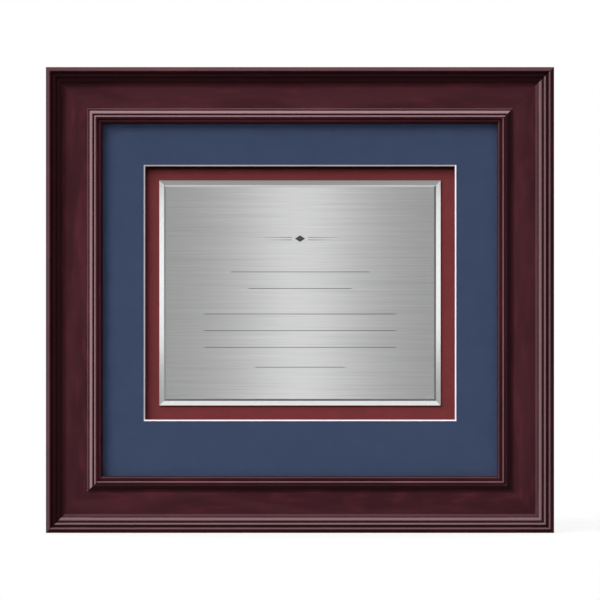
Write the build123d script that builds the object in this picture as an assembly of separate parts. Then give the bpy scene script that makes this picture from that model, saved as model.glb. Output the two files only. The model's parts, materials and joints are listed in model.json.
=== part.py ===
from build123d import *
import os
from math import asin, atan2, cos, degrees, radians, sin, sqrt, tan

# Wall-hung certificate frame. A mitred wooden moulding holds glazing, a navy mat on lift
# strips, a red mount board with a two-part metal plate, and a backing board that turn
# buttons keep in. It hangs on two D-rings and leans on two bumpers.
# Millimetres. X runs to the right, Y from the front towards the wall, Z up.
# The origin is the middle of the frame's back, in the plane of the rails' backs.

# Metal plate and the boards that show around it
plate_width = 254.0
plate_height = 203.2
plate_border = 12.7  # mount board showing round the plate
side_margin = 38.1  # from the foot of the mat's window to the sight edge
top_margin = 38.1
bottom_margin = 50.8

# Layers behind the rails' ledge, from the front
glazing_thickness = 2.0
mat_thickness = 1.4
lift_thickness = 5.0
mount_board_thickness = 1.4
backing_thickness = 3.0
ledge_overlap = 6.35  # how far the layers reach behind the sight edge
layer_clearance = 1.5  # between the layers' edges and the rabbet
lift_width = 25.0

# Two-part plate and its tape
tape_thickness = 0.6
tape_width = 12.0
tape_count = 3
tape_end_inset = 42.0  # tape ends to the plate's sides
tape_edge_inset = 16.0  # outer tapes to the plate's top and bottom
base_edge = 0.6  # thickness left at the base plate's rim
base_bevel_width = 4.2
base_bevel_drop = 0.8
face_edge = 0.3  # thickness left at the face plate's rim
face_chamfer_width = 1.8
face_chamfer_drop = 1.0

# Wooden moulding, from the outer edge inwards
rail_width = 50.8
panel_over_ledge = 4.0  # wood between the ledge and the flat panel
reed_count = 3
reed_radius = 2.65
reed_lap = 0.2  # how far neighbouring reeds run into each other
reed_slope = 34.5  # degrees, the fall of the reeds towards the panel
reed_foot = 0.4  # centre of the last reed above the cove
quirk_width = 0.7
cove_width = 3.0
cove_rise = 1.5

# Inner half of the moulding, from the panel to the sight edge
step_rise = 0.9
step_width = 2.0
ovolo_radius = 3.4
ovolo_flat = 0.6
bead_quirk = 0.65
bead_radius = 1.45
bead_proud = 0.3  # bead crest above the ovolo
groove_width = 2.15
groove_drop = 0.6
lip_radius = 2.2
lip_thickness = 6.0  # wood between the ledge and the lip's crest

# V-nails across the mitres
nail_leg = 6.0
nail_thickness = 0.6
nail_depth = 10.0
outer_nail_inset = 10.0  # from the rails' outer edges
inner_nail_gap = 4.0  # from the rabbet

# Turn buttons and their screws
button_thickness = 1.2
button_pivot_radius = 6.0
button_tip_radius = 5.0
button_reach = 24.0  # pivot to tip
button_bend = 17.0  # pivot to the bent-up tip
button_bend_angle = 18.0  # degrees
button_gap = 0.1  # under the button and under the screw head
button_inset = 7.0  # pivot to the rabbet's edge
button_from_corner = 85.0  # pivot to the backing board's corner, along its edge
pivot_clearance = 0.08

screw_radius = 1.75
screw_bite = 10.0  # depth in the wood
screw_point = 3.0
screw_head_radius = 3.5
screw_head_height = 1.9
screw_head_round = 0.8
screw_recess_depth = 1.0
screw_recess_width = 0.9
screw_recess_length = 3.8

# D-ring hangers
ring_wire_radius = 1.2
ring_radius = 11.0
ring_corner = 3.0
ring_gap = 0.15  # between the leaning ring and the wood
strap_thickness = 1.0
strap_clearance = 0.1
strap_width = 11.0
strap_end_round = 4.5
strap_end = 6.0  # lower screw to the strap's end
screw_below_ring = 1.8  # between the ring turned down and the upper screw's head
hanger_screw_spacing = 10.5
hanger_clearance = 12.0  # from the upper side button's sweep to the strap's end

# Wall bumpers
bumper_radius = 6.0
bumper_height = 4.8
bumper_round = 1.5

# Sizes that follow from the ones above
window_width = plate_width + 2 * plate_border
window_height = plate_height + 2 * plate_border
sight_width = window_width + 2 * side_margin
sight_height = window_height + top_margin + bottom_margin
frame_width = sight_width + 2 * rail_width
frame_height = sight_height + 2 * rail_width
layer_width = sight_width + 2 * ledge_overlap
layer_height = sight_height + 2 * ledge_overlap
rabbet_width = ledge_overlap + layer_clearance
window_middle = (bottom_margin - top_margin) / 2
back_middle = (rail_width - rabbet_width) / 2  # middle of the rails' backs, from the outer edge
base_thickness = base_edge + base_bevel_drop
face_thickness = face_edge + face_chamfer_drop
loop_inside = ring_wire_radius + strap_clearance
loop_depth = loop_inside + strap_thickness  # the ring bar's height off the wood
upper_screw_drop = ring_radius + ring_wire_radius + screw_below_ring + screw_head_radius
hanger_screw_drops = (upper_screw_drop, upper_screw_drop + hanger_screw_spacing)
strap_length = hanger_screw_drops[-1] + strap_end  # loop centre to the strap's end
inner_nail_inset = rail_width - rabbet_width - nail_leg - inner_nail_gap

# Depths measured forwards from the rails' backs
backing_front = backing_thickness
mount_board_front = backing_front + mount_board_thickness
lift_front = mount_board_front + lift_thickness
mat_front = lift_front + mat_thickness
ledge_depth = mat_front + glazing_thickness
panel_depth = ledge_depth + panel_over_ledge

os.makedirs("parts", exist_ok=True)


def facing(depth):
    """Plane parallel to the front, with X right, Z up and its normal out of the front."""
    return Plane(origin=(0, -depth, 0), x_dir=(1, 0, 0), z_dir=(0, -1, 0))


def sheet(width, height, back_depth, thickness, middle=0.0):
    """Flat rectangular board whose back lies at a depth."""
    return extrude(facing(back_depth) * Pos(0, middle) * Rectangle(width, height), amount=thickness)


def taper(size_back, size_front, back_depth, front_depth, middle=0.0):
    """Four-sided block that changes from one rectangle to another."""
    back = facing(back_depth) * Pos(0, middle) * Rectangle(*size_back)
    front = facing(front_depth) * Pos(0, middle) * Rectangle(*size_front)
    return loft([back, front])


def swing(center, start, end):
    """Clockwise arc about a centre from one point to another."""
    radius = sqrt((start[0] - center[0]) ** 2 + (start[1] - center[1]) ** 2)
    first = degrees(atan2(start[1] - center[1], start[0] - center[0]))
    last = degrees(atan2(end[1] - center[1], end[0] - center[0]))
    return CenterArc(center, radius, first, -((first - last) % 360))


def hollow(center, start, end):
    """Counter-clockwise arc about a centre from one point to another."""
    radius = sqrt((start[0] - center[0]) ** 2 + (start[1] - center[1]) ** 2)
    first = degrees(atan2(start[1] - center[1], start[0] - center[0]))
    last = degrees(atan2(end[1] - center[1], end[0] - center[0]))
    return CenterArc(center, radius, first, (last - first) % 360)


def moulding_section():
    """Section of the moulding: first value from the outer edge, second from the back."""
    spacing = 2 * reed_radius - reed_lap
    across = spacing * cos(radians(reed_slope))
    fall = spacing * sin(radians(reed_slope))
    last = reed_count - 1
    cove_top = panel_depth + cove_rise
    centers = [
        (reed_radius + i * across, cove_top + reed_foot + (last - i) * fall) for i in range(reed_count)
    ]
    crease = sqrt(reed_radius**2 - (spacing / 2) ** 2)
    tilt = radians(reed_slope)

    edges = []
    point = (0, centers[0][1])
    edges.append(Line((0, 0), point))
    for i, center in enumerate(centers):
        if i < last:
            middle = (center[0] + across / 2, center[1] - fall / 2)
            after = (middle[0] + crease * sin(tilt), middle[1] + crease * cos(tilt))
        else:
            after = (center[0] + reed_radius, center[1])
        edges.append(swing(center, point, after))
        point = after

    # Quirk at the reeds' foot, then the cove that runs out into the panel
    foot = (point[0], cove_top)
    shelf = (foot[0] + quirk_width, foot[1])
    cove_end = (shelf[0] + cove_width, panel_depth)
    cove_radius = (cove_width**2 + cove_rise**2) / (2 * cove_rise)
    edges.append(Line(point, foot))
    edges.append(Line(foot, shelf))
    edges.append(hollow((cove_end[0], panel_depth + cove_radius), shelf, cove_end))

    # Sight edge side, worked out from the sight edge towards the panel
    lip_crest = ledge_depth + lip_thickness
    lip_top = (rail_width - lip_radius, lip_crest)
    groove = (lip_top[0] - groove_width, lip_crest - groove_drop)
    ovolo_top = panel_depth + step_rise + ovolo_radius
    bead_center = (groove[0] - bead_radius, ovolo_top + bead_proud - bead_radius)
    bead_in = (groove[0], bead_center[1])
    bead_out = (bead_center[0] - bead_radius, bead_center[1])
    quirk_wall = bead_out[0] - bead_quirk
    ovolo_center = (quirk_wall - ovolo_flat, panel_depth + step_rise)
    ovolo_foot = (ovolo_center[0] - ovolo_radius, ovolo_center[1])
    step_top = (ovolo_foot[0] - step_width, ovolo_foot[1])

    edges.append(Line(cove_end, (step_top[0], panel_depth)))
    edges.append(Line((step_top[0], panel_depth), step_top))
    edges.append(Line(step_top, ovolo_foot))
    edges.append(swing(ovolo_center, ovolo_foot, (ovolo_center[0], ovolo_top)))
    edges.append(Line((ovolo_center[0], ovolo_top), (quirk_wall, ovolo_top)))
    edges.append(Line((quirk_wall, ovolo_top), (quirk_wall, bead_out[1])))
    edges.append(Line((quirk_wall, bead_out[1]), bead_out))
    edges.append(swing(bead_center, bead_out, bead_in))
    edges.append(Line(bead_in, groove))
    edges.append(Line(groove, lip_top))
    edges.append(swing((lip_top[0], lip_crest - lip_radius), lip_top, (rail_width, lip_crest - lip_radius)))

    # Down the sight edge, along the ledge and out through the rabbet
    edges.append(Line((rail_width, lip_crest - lip_radius), (rail_width, ledge_depth)))
    edges.append(Line((rail_width, ledge_depth), (rail_width - rabbet_width, ledge_depth)))
    edges.append(Line((rail_width - rabbet_width, ledge_depth), (rail_width - rabbet_width, 0)))
    edges.append(Line((rail_width - rabbet_width, 0), (0, 0)))
    return make_face(edges)


def mitred_rail(length):
    """Rail along X with its outer edge at Z = 0, cut at 45 degrees at both ends."""
    start = Plane(origin=(-length / 2, 0, 0), x_dir=(0, 0, 1), z_dir=(1, 0, 0))
    bar = extrude(start * moulding_section(), amount=length)
    half = length / 2
    outline = Polygon(
        (-half, 0), (half, 0), (half - rail_width, rail_width), (-half + rail_width, rail_width), align=None
    )
    return bar & extrude(facing(0) * outline, amount=bar.bounding_box().size.Y)


def v_nail(corner_x, corner_z, inset):
    """V-nail that bridges one mitre, with a leg driven into each rail from the back."""
    leg = Pos(0, -nail_depth / 2, 0) * Box(
        nail_leg, nail_depth, nail_thickness, align=(Align.MIN, Align.CENTER, Align.MIN)
    )
    other_leg = Pos(0, -nail_depth / 2, 0) * Box(
        nail_thickness, nail_depth, nail_leg, align=(Align.MIN, Align.CENTER, Align.MIN)
    )
    nail = Pos(inset - frame_width / 2, 0, inset - frame_height / 2) * (leg + other_leg)
    if corner_x > 0:
        nail = mirror(nail, Plane.YZ)
    if corner_z > 0:
        nail = mirror(nail, Plane.XY)
    return nail


def along_y(shape, y):
    """Turn a shape made along Z so that it runs along Y, starting at y."""
    return Pos(0, y, 0) * Rot(X=-90) * shape


def wood_screw(seat):
    """Pan-head screw along Y, its head seated at y and its shank in the wood in front."""
    base = (Align.CENTER, Align.CENTER, Align.MIN)
    head = along_y(Cylinder(screw_head_radius, screw_head_height, align=base), seat)
    head = fillet(head.edges().group_by(Axis.Y)[-1], screw_head_round)
    top = seat + screw_head_height - screw_recess_depth / 2
    head -= Pos(0, top, 0) * Box(screw_recess_length, screw_recess_depth, screw_recess_width)
    head -= Pos(0, top, 0) * Box(screw_recess_width, screw_recess_depth, screw_recess_length)
    straight = screw_bite - screw_point
    shank = along_y(Cylinder(screw_radius, straight + seat, align=base), -straight)
    tip = along_y(Cone(0, screw_radius, screw_point, align=base), -screw_bite)
    return head + shank + tip


def turn_button():
    """Stamped button on the frame's back, pivot on the Y axis, finger along +X."""
    angle = radians(button_bend_angle)
    rise = (button_reach - button_bend) * tan(angle)
    upper_bend = button_bend - button_thickness * tan(angle / 2)
    side = Polygon(
        (-button_pivot_radius, 0),
        (button_bend, 0),
        (button_reach, rise),
        (button_reach, rise + button_thickness / cos(angle)),
        (upper_bend, button_thickness),
        (-button_pivot_radius, button_thickness),
        align=None,
    )
    strip = Pos(0, button_gap, 0) * extrude(Plane.XY * side, amount=button_pivot_radius, both=True)
    pivot_end = Circle(button_pivot_radius)
    tip_end = Pos(button_reach - button_tip_radius, 0) * Circle(button_tip_radius)
    outline = make_hull(pivot_end.edges() + tip_end.edges())
    outline -= Circle(screw_radius + pivot_clearance)
    depth = strip.bounding_box().max.Y
    return strip & extrude(facing(-depth) * outline, amount=depth)


def d_ring():
    """D-shaped wire ring, its straight bar on the X axis and its bow upwards."""
    bow = CenterArc((0, 0), ring_radius, 0, 180)
    bar = Line((-ring_radius, 0), (ring_radius, 0))
    outline = make_face([bow, bar])
    outline = fillet(outline.vertices(), ring_corner)
    path = (Plane.XZ * outline).face().outer_wire()
    start = Plane(origin=path @ 0, z_dir=path % 0)
    return sweep(start * Circle(ring_wire_radius), path)


def hanger_strap():
    """Folded strap round the ring's bar, lying on the rail below the loop's centre."""
    side = Pos(loop_depth, 0) * Circle(loop_depth)
    side += Pos(0, -strap_length) * Rectangle(
        2 * strap_thickness, strap_length, align=(Align.MIN, Align.MIN)
    )
    side -= Pos(loop_depth, 0) * Circle(loop_inside)
    strap = extrude(Plane.YZ * side, amount=strap_width / 2, both=True)
    corners = strap.edges().filter_by(Axis.Y).group_by(Axis.Z)[0]
    strap = fillet(corners, min(strap_end_round, 0.45 * strap_width))
    for drop in hanger_screw_drops:
        strap -= Pos(0, 0, -drop) * along_y(Cylinder(screw_radius, 4 * strap_thickness), strap_thickness)
    return strap


def bumper():
    """Round rubber bumper on the rails' backs, domed at its rim."""
    base = (Align.CENTER, Align.CENTER, Align.MIN)
    pad = along_y(Cylinder(bumper_radius, bumper_height, align=base), 0)
    return fillet(pad.edges().group_by(Axis.Y)[-1], bumper_round)


# Places of the turn buttons: pivot and the direction of the finger, towards the middle
pivot_x = sight_width / 2 + rabbet_width + button_inset
pivot_z = sight_height / 2 + rabbet_width + button_inset
across = layer_width / 2 - button_from_corner
up = layer_height / 2 - button_from_corner
button_places = {
    "turn_button_top_left": (-across, pivot_z, 90),
    "turn_button_top_right": (across, pivot_z, 90),
    "turn_button_bottom_left": (-across, -pivot_z, -90),
    "turn_button_bottom_right": (across, -pivot_z, -90),
    "turn_button_left_upper": (-pivot_x, up, 0),
    "turn_button_left_lower": (-pivot_x, -up, 0),
    "turn_button_right_upper": (pivot_x, up, 180),
    "turn_button_right_lower": (pivot_x, -up, 180),
}
button_seat = button_thickness + 2 * button_gap
button_screws = [Pos(x, 0, z) * wood_screw(button_seat) for x, z, _ in button_places.values()]

# Places of the hangers, measured from the frame's outer edges
hanger_x = frame_width / 2 - back_middle
hanger_height = up + button_reach + hanger_clearance + strap_length
hanger_sides = {"left": -hanger_x, "right": hanger_x}
hanger_screws = [
    Pos(x, 0, hanger_height - drop) * wood_screw(2 * strap_thickness)
    for x in hanger_sides.values()
    for drop in hanger_screw_drops
]
ring_lean = degrees(asin((loop_depth - ring_wire_radius - ring_gap) / ring_radius))

nails = [
    v_nail(corner_x, corner_z, inset)
    for corner_x in (-1, 1)
    for corner_z in (-1, 1)
    for inset in (outer_nail_inset, inner_nail_inset)
]

parts = {}

# Rails, with the holes that their fasteners make
long_rail = mitred_rail(frame_width)
short_rail = mitred_rail(frame_height)
rails = {
    "bottom_rail": Pos(0, 0, -frame_height / 2) * long_rail,
    "top_rail": Pos(0, 0, frame_height / 2) * Rot(Y=180) * long_rail,
    "left_rail": Pos(-frame_width / 2, 0, 0) * Rot(Y=90) * short_rail,
    "right_rail": Pos(frame_width / 2, 0, 0) * Rot(Y=-90) * short_rail,
}
for name, rail in rails.items():
    for fastener in nails + button_screws + hanger_screws:
        rail -= fastener
    parts[name] = rail
parts["corner_v_nails"] = Compound(nails)

# Layers behind the ledge
parts["glazing_sheet"] = sheet(layer_width, layer_height, mat_front, glazing_thickness)
mat_face_window = (window_width + 2 * mat_thickness, window_height + 2 * mat_thickness)
window_cut = taper((window_width, window_height), mat_face_window, lift_front, mat_front, window_middle)
parts["navy_mat"] = sheet(layer_width, layer_height, lift_front, mat_thickness) - window_cut
for name, side in (("top", 1), ("bottom", -1)):
    strip = sheet(layer_width, lift_width, mount_board_front, lift_thickness)
    parts[f"{name}_lift_strip"] = Pos(0, 0, side * (layer_height - lift_width) / 2) * strip
for name, side in (("left", -1), ("right", 1)):
    strip = sheet(lift_width, layer_height - 2 * lift_width, mount_board_front, lift_thickness)
    parts[f"{name}_lift_strip"] = Pos(side * (layer_width - lift_width) / 2, 0, 0) * strip
parts["red_mount_board"] = sheet(layer_width, layer_height, backing_front, mount_board_thickness)
parts["backing_board"] = sheet(layer_width, layer_height, 0, backing_thickness)

# Metal plate on its tape
tape = sheet(plate_width - 2 * tape_end_inset, tape_width, mount_board_front, tape_thickness, window_middle)
first_tape = tape_edge_inset + tape_width / 2 - plate_height / 2
tape_spacing = -2 * first_tape / (tape_count - 1)
tapes = [Pos(0, 0, first_tape + i * tape_spacing) * tape for i in range(tape_count)]
parts["plate_tape_strips"] = Compound(tapes)
base_back = mount_board_front + tape_thickness
base_front = base_back + base_thickness
face_width = plate_width - 2 * base_bevel_width
face_height = plate_height - 2 * base_bevel_width
face_size = (face_width, face_height)
base_rim = base_back + base_edge
base = sheet(plate_width, plate_height, base_back, base_edge, window_middle)
base += taper((plate_width, plate_height), face_size, base_rim, base_front, window_middle)
parts["bevelled_base_plate"] = base
face_rim = base_front + face_edge
field = (face_width - 2 * face_chamfer_width, face_height - 2 * face_chamfer_width)
face = sheet(face_width, face_height, base_front, face_edge, window_middle)
face += taper(face_size, field, face_rim, base_front + face_thickness, window_middle)
parts["brushed_face_plate"] = face

# Turn buttons, hangers and bumpers on the back
for name, (x, z, direction) in button_places.items():
    parts[name] = Pos(x, 0, z) * Rot(Y=direction) * turn_button()
parts["turn_button_screws"] = Compound(button_screws)
for name, x in hanger_sides.items():
    parts[f"{name}_hanger_strap"] = Pos(x, 0, hanger_height) * hanger_strap()
    parts[f"{name}_d_ring"] = Pos(x, loop_depth, hanger_height) * Rot(X=ring_lean) * d_ring()
parts["hanger_screws"] = Compound(hanger_screws)
bumper_x = frame_width / 2 - back_middle
bumper_z = frame_height / 2 - back_middle
for name, side in (("left", -1), ("right", 1)):
    parts[f"{name}_wall_bumper"] = Pos(side * bumper_x, 0, -bumper_z) * bumper()

for name, shape in parts.items():
    export_step(shape, f"parts/{name}.step")
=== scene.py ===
import json
import math

import bmesh
import bpy
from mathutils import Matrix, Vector


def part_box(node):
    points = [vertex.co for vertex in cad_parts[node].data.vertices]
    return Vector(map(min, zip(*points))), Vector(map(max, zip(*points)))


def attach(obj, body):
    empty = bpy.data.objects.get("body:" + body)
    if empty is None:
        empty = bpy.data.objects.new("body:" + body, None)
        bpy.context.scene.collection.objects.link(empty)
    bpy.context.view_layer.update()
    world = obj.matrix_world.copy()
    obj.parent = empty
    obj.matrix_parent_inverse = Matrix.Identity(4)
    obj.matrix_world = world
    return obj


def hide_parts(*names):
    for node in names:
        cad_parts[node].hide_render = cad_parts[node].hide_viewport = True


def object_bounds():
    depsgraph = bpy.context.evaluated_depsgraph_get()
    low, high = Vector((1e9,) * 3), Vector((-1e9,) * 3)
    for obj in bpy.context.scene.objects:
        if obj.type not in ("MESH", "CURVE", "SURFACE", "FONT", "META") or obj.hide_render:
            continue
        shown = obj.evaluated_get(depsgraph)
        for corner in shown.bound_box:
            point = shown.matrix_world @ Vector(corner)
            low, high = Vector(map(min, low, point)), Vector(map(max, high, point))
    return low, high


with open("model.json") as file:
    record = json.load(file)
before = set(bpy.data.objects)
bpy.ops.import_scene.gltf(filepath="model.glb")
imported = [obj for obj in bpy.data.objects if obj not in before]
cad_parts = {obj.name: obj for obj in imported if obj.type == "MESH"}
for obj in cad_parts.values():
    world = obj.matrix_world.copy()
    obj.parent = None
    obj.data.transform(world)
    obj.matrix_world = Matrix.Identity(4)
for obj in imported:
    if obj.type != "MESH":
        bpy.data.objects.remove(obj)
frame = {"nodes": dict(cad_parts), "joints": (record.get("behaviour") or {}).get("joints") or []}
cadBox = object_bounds()
nodes = frame["nodes"]
scene = bpy.context.scene
mm = 0.001
white = (1.0, 1.0, 1.0, 1.0)


class Wire:  # a shader socket that stands in plain arithmetic
    def __init__(self, finish, socket):
        self.finish = finish
        self.socket = socket

    def also(self, output):  # another output of the same node
        return Wire(self.finish, self.socket.node.outputs[output])

    def maths(self, operation, first, second):
        return self.finish.node("ShaderNodeMath", {"operation": operation}, {0: first, 1: second})

    def __add__(self, other):
        return self.maths("ADD", self, other)

    def __radd__(self, other):
        return self.maths("ADD", other, self)

    def __sub__(self, other):
        return self.maths("SUBTRACT", self, other)

    def __rsub__(self, other):
        return self.maths("SUBTRACT", other, self)

    def __mul__(self, other):
        return self.maths("MULTIPLY", self, other)

    def __rmul__(self, other):
        return self.maths("MULTIPLY", other, self)

    def __pow__(self, other):
        return self.maths("POWER", self, other)

    def __rpow__(self, other):
        return self.maths("POWER", other, self)


class Finish:  # the nodes of one material, or of the world
    def __init__(self, owner):
        owner.use_nodes = True
        self.owner = owner
        self.tree = owner.node_tree
        self.tree.nodes.clear()

    def node(self, kind, settings=None, inputs=None, output=0):
        made = self.tree.nodes.new(kind)
        for key, value in (settings or {}).items():
            setattr(made, key, value)
        for key, value in (inputs or {}).items():
            if isinstance(value, Wire):
                self.tree.links.new(value.socket, made.inputs[key])
            else:
                made.inputs[key].default_value = value
        return Wire(self, made.outputs[output]) if made.outputs else None

    def place(self):  # metres in the frame, fixed to the piece
        return self.node("ShaderNodeTexCoord", output="Object")

    def split(self, vector):  # x, and y and z by also()
        return self.node("ShaderNodeSeparateXYZ", {}, {0: vector})

    def noise(self, at, grain):  # grain: as grainOf() gives it
        size, detail, rough, twist = grain
        stretched = self.node("ShaderNodeVectorMath", {"operation": "DIVIDE"}, {0: at, 1: size})
        return self.node(
            "ShaderNodeTexNoise",
            {},
            {"Vector": stretched, "Scale": 1.0, "Detail": detail, "Roughness": rough, "Distortion": twist},
        )

    def rise(self, value, low, high):  # 0 below low, 1 above high, eased between
        return self.node(
            "ShaderNodeMapRange",
            {"interpolation_type": "SMOOTHSTEP"},
            {"Value": value, "From Min": low, "From Max": high},
        )

    def patches(self, at, grain, limits):  # noise cut to 0 and 1 with soft edges
        return self.rise(self.noise(at, grain), *limits)

    def blend(self, share, first, second):  # from one colour to another
        return self.node("ShaderNodeMix", {"data_type": "RGBA"}, {0: share, 6: first, 7: second}, output=2)

    def dim(self, colour, amount):  # a colour times a number
        vector = colour if isinstance(colour, Wire) else colour[:3]
        return self.node("ShaderNodeVectorMath", {"operation": "SCALE"}, {0: vector, "Scale": amount})

    def bump(self, height, depth, strength):
        inputs = {"Height": height, "Distance": depth, "Strength": strength}
        return self.node("ShaderNodeBump", {}, inputs, output="Normal")

    def shell(self, inputs):
        return self.node("ShaderNodeBsdfPrincipled", {}, inputs)

    def clear(self):
        return self.node("ShaderNodeBsdfTransparent", {}, {"Color": white})

    def cover(self, shader):
        self.node("ShaderNodeOutputMaterial", {}, {"Surface": shader})
        return self.owner

    def coat(self, inputs):  # one shell over the whole piece
        return self.cover(self.shell(inputs))

    def coverMixed(self, share, first, second):
        return self.cover(self.node("ShaderNodeMixShader", {}, {0: share, 1: first, 2: second}))


def ink(red, green, blue):  # a screen colour, 0 to 255, as a socket's linear colour
    def linear(value):
        share = value / 255
        return share / 12.92 if share <= 0.04045 else ((share + 0.055) / 1.055) ** 2.4

    return (linear(red), linear(green), linear(blue), 1.0)


# A noise: lengths of one blotch in mm along x, y and z, then its detail, roughness and distortion
def grainOf(x, y, z, detail=2.0, rough=0.5, twist=0.0):
    return ((x * mm, y * mm, z * mm), detail, rough, twist)


def newFinish(name):
    return Finish(bpy.data.materials.new(name))


def closedMesh(name, shape, sharp):  # smooth faces that look outwards, crisp past an angle in degrees
    bmesh.ops.recalc_face_normals(shape, faces=shape.faces)
    if shape.calc_volume(signed=True) < 0:
        bmesh.ops.reverse_faces(shape, faces=shape.faces)
    mesh = bpy.data.meshes.new(name)
    shape.to_mesh(mesh)
    shape.free()
    mesh.shade_smooth()
    mesh.set_sharp_from_angle(angle=math.radians(sharp))
    return mesh


def newPiece(name, shape, materials, replaces=(), body="frame", sharp=35.0):
    mesh = closedMesh(name, shape, sharp)
    piece = bpy.data.objects.new(name, mesh)
    scene.collection.objects.link(piece)
    for material in materials:
        mesh.materials.append(material)
    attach(piece, body)
    if replaces:
        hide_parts(*replaces)
    return piece


def dress(nodeName, material):  # finish of a CAD node
    for slot in nodes[nodeName].material_slots:
        slot.material = material


# Quads between loops of as many points each; ends are capped, joined to each other or open
def joinLoops(shape, loops, ends="capped", faces=()):
    pairs = list(zip(loops, loops[1:]))
    if ends == "joined":
        pairs.append((loops[-1], loops[0]))
    for index, (near, far) in enumerate(pairs):
        for k in range(len(near)):
            n = (k + 1) % len(near)
            face = shape.faces.new((near[k], near[n], far[n], far[k]))
            face.material_index = faces[index] if faces else 0
    if ends == "capped":
        shape.faces.new(loops[0])
        shape.faces.new(loops[-1]).material_index = faces[-1] if faces else 0


def sizeOf(node):  # half width, half height, middle z, back y, front y
    low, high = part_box(node)
    return (high.x - low.x) / 2, (high.z - low.z) / 2, (high.z + low.z) / 2, high.y, low.y


def loftRings(rings, ends="capped", faces=()):  # rectangles: half width, half height, middle z, y
    shape = bmesh.new()
    loops = []
    for wide, high, middle, y in rings:
        corners = ((-wide, -high), (wide, -high), (wide, high), (-wide, high))
        loops.append([shape.verts.new((x, y, z + middle)) for x, z in corners])
    joinLoops(shape, loops, ends, faces)
    return shape


def raisedOutline(shape, outline, back, front):  # closed prism from an outline of x, z points
    joinLoops(shape, [[shape.verts.new((x, y, z)) for x, z in outline] for y in (back, front)])


# Rails: stained, lacquered moulding with bare wood behind
railLook = {
    "shade": ink(57, 26, 32),
    "body": ink(69, 33, 40),
    "flame": ink(92, 37, 48),
    # dark stain colour; the tone's first share lays it on both as stain and as painted shade in the
    # mouldings
    "stain": ink(30, 9, 13),
    "pore": ink(34, 13, 17),
    "gloss": (1.0, 0.62, 0.68, 1.0),  # the lacquer's warm tint in its highlights
    "clouds": grainOf(110, 22, 22, 2.0, 0.5, 0.4),
    "flames": grainOf(26, 7.0, 7.0, 1.0, 0.5, 0.1),
    "streaks": grainOf(60, 1.3, 1.3, 2.0, 0.6),
    "fibres": grainOf(22, 0.34, 0.34, 3.0, 0.6),
    "pores": grainOf(5.5, 0.2, 0.2, 1.0),
    "peel": grainOf(2.6, 2.6, 2.6, 1.0),  # waviness of the lacquer
    "cloudLimits": (0.36, 0.62),
    "flameLimits": (0.46, 0.94),
    "poreLimits": (0.66, 0.76),
    "flameShare": 0.8,
    "poreShare": 0.55,
    "dullRoughness": 0.5,
    "glossRoughness": 0.17,
    "glossIndex": 1.88,
    "relief": (0.02 * mm, 0.12),  # depth and strength
    "shift": 1.7,  # metres along the grain from one rail to the next, so that no two are alike
}


def grainPlace(finish, along, shift):  # x with the grain, y across the face, z into the wood
    x = finish.split(finish.place())
    z = x.also("Z")
    run, across = (x, z) if along == "x" else (z, x)
    return finish.node("ShaderNodeCombineXYZ", {}, {0: run + shift, 1: across, 2: x.also("Y")})


def railLacquer(name, along, shift):
    look = railLook
    finish = newFinish(name)
    grain = grainPlace(finish, along, shift)
    cloud = finish.patches(grain, look["clouds"], look["cloudLimits"])
    flame = finish.patches(grain, look["flames"], look["flameLimits"])
    streak = finish.noise(grain, look["streaks"])
    fibre = finish.noise(grain, look["fibres"])
    pore = finish.patches(grain, look["pores"], look["poreLimits"])
    peel = finish.noise(grain, look["peel"])
    tone = finish.node("ShaderNodeAttribute", {"attribute_name": "tone"}, output="Vector")
    stain = finish.split(tone)

    wood = finish.blend(cloud, look["shade"], look["body"])
    wood = finish.blend(flame * look["flameShare"], wood, look["flame"])
    wood = finish.dim(wood, 0.76 + fibre * 0.26 + streak * 0.22)
    wood = finish.blend(pore * look["poreShare"], wood, look["pore"])
    # dark stain and painted shade: the tone's first share darkens the wood towards the stain colour
    wood = finish.blend(stain, wood, look["stain"])
    relief = finish.bump(fibre * 0.25 - pore * 0.5 + peel * 1.2, *look["relief"])
    dull = finish.shell({
        "Base Color": wood,
        "Roughness": look["dullRoughness"] + fibre * 0.14,
        "Specular IOR Level": 0.0,
        "Normal": relief,
    })
    glossy = finish.shell({
        "Base Color": wood,
        "Roughness": look["glossRoughness"] + fibre * 0.03,
        "IOR": look["glossIndex"],
        "Specular Tint": look["gloss"],
        "Normal": relief,
    })
    polish = stain.also("Y") * (1 - pore * 0.25)
    return finish.coverMixed(polish, dull, glossy)


bareLook = {
    "early": ink(203, 170, 128),
    "late": ink(166, 124, 82),
    "smear": ink(92, 44, 42),
    "rings": grainOf(120, 3.2, 3.2, 3.0, 0.55, 0.6),
    "fibres": grainOf(9, 0.3, 0.3, 3.0, 0.6),
    "smears": grainOf(60, 14, 14, 4.0, 0.62, 0.5),
    "pores": grainOf(5.0, 0.24, 0.24, 1.0),
    "ringLimits": (0.35, 0.65),
    "smearLimits": (0.56, 0.72),
    "poreLimits": (0.64, 0.76),
    "smearShare": 0.55,
    "wrapShare": 0.85,
    "wrapWide": 3.5 * mm,  # stain that ran round the outer edge
    "wrapRagged": 12 * mm,
    "roughness": 0.72,
    "specular": 0.3,
    "relief": (0.06 * mm, 0.5),
}


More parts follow.
